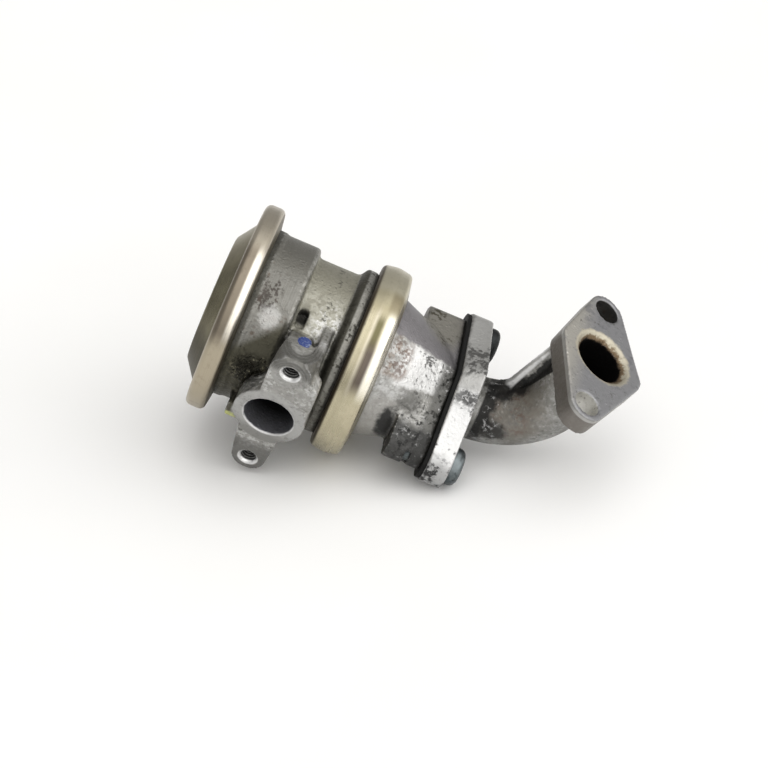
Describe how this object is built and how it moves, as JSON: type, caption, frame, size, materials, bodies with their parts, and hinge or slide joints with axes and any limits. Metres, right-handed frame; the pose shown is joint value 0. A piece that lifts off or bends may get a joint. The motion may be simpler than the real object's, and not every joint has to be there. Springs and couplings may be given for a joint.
{
  "type": "air shut-off and check valve",
  "caption": "Pressure-operated air shut-off and check valve: diaphragm chamber, side inlet port, rolled joint ring and bolted outlet elbow with a two-hole flange.",
  "frame": {"origin": "on the outlet flange face, midway between its two bolt holes, where the valve is bolted to the engine", "axes": "+X along the valve axis from the diaphragm cover to the elbow, -Y along the inlet port, +Z on the side that the elbow bends to"},
  "size_m": [0.1367, 0.0719, 0.081],
  "materials": {
    "plated_cover": "yellowish zinc-nickel plated pressed steel",
    "cast_upper": "sand-textured die-cast aluminium, aged",
    "cast_lower": "die-cast aluminium, sooted",
    "cast_elbow": "cast aluminium, satin",
    "rubber_black": "black rubber",
    "steel_plain": "turned and pressed steel",
    "spring_steel": "drawn spring steel",
    "brass_bush": "sintered bronze bush",
    "bolt_dark": "dark phosphated steel",
    "gasket_black": "black coated sheet gasket"
  },
  "bodies": {
    "housing": {"diaphragm_cover": "plated_cover", "diaphragm": "rubber_black", "return_spring": "spring_steel", "spring_seat_washer": "steel_plain", "guide_bush": "brass_bush", "stem_seal": "rubber_black", "seal_retainer": "steel_plain", "upper_housing": "cast_upper", "crimp_ring": "plated_cover", "housing_seal": "rubber_black", "check_valve_cage": "steel_plain", "reed_strip": "spring_steel", "reed_stop": "steel_plain", "reed_rivet": "steel_plain", "lower_housing": "cast_lower", "flange_gasket": "gasket_black", "elbow_pipe": "cast_elbow", "flange_bolts": "bolt_dark"},
    "stem_group": {"valve_stem": "steel_plain", "stem_top_nut": "steel_plain", "diaphragm_plate": "steel_plain", "spring_cup": "steel_plain", "valve_seal": "rubber_black", "valve_disc": "steel_plain", "valve_nut": "steel_plain"},
    "upper_petal": {"reed_petal_upper": "spring_steel"},
    "lower_petal": {"reed_petal_lower": "spring_steel"}
  },
  "joints": [
    {"name": "valve_stroke", "type": "slide", "parent": "housing", "child": "stem_group", "axis": [1, 0, 0], "range_m": [0, 0.005], "stiffness_N_per_m": 2500, "springref_m": -0.006, "deforming": ["return_spring", "diaphragm"]},
    {"name": "upper_petal_lift", "type": "hinge", "parent": "housing", "child": "upper_petal", "pos_m": [-0.06049, -0.00603, -0.03709], "axis": [0, 1, 0], "range_deg": [0, 16], "stiffness_Nm_per_rad": 0.02, "springref_deg": -5.73},
    {"name": "lower_petal_lift", "type": "hinge", "parent": "housing", "child": "lower_petal", "pos_m": [-0.06049, -0.00603, -0.04229], "axis": [0, -1, 0], "range_deg": [0, 16], "stiffness_Nm_per_rad": 0.02, "springref_deg": -5.73}
  ]
}
